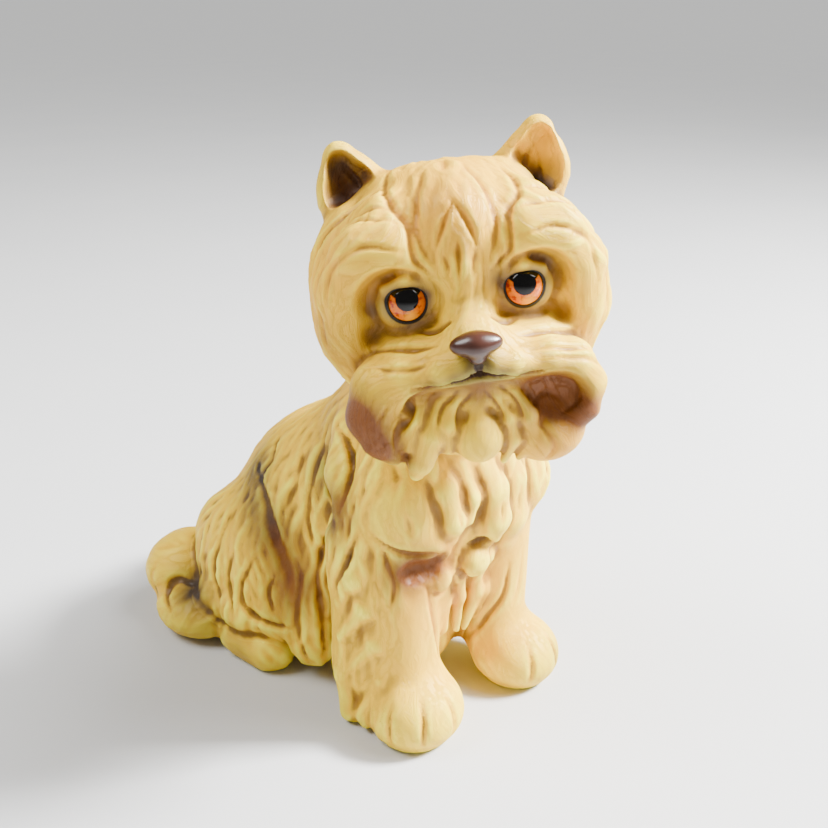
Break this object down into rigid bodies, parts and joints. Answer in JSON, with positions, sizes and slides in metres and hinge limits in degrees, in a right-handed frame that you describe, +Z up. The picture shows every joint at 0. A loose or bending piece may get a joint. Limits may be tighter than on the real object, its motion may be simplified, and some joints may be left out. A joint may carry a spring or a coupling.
{
  "type": "dog figurine",
  "caption": "Seated long-haired puppy figurine in hollow slip-cast bisque, head turned to one side, with glazed eyes and nose and a flat seat to stand it on a shelf.",
  "frame": {"origin": "middle of the figure's bounding box, on the surface that it sits on", "axes": "+Z up, -Y is the way the puppy's body faces, +X is the puppy's left side; the head is turned 38 degrees towards -X"},
  "size_m": [0.0738, 0.1224, 0.1294],
  "materials": {
    "bisque": "matt bisque porcelain with airbrushed brown and grey stain in the hair grooves",
    "eye_glaze": "hand-painted amber iris and black pupil under clear gloss glaze",
    "nose_glaze": "dark brown satin glaze"
  },
  "bodies": {
    "root": {"torso_casting": "bisque", "head_casting": "bisque", "left_ear": "bisque", "right_ear": "bisque", "left_foreleg": "bisque", "right_foreleg": "bisque", "left_hind_foot": "bisque", "right_hind_foot": "bisque", "tail": "bisque", "left_eye": "eye_glaze", "right_eye": "eye_glaze", "nose": "nose_glaze"}
  },
  "joints": []
}
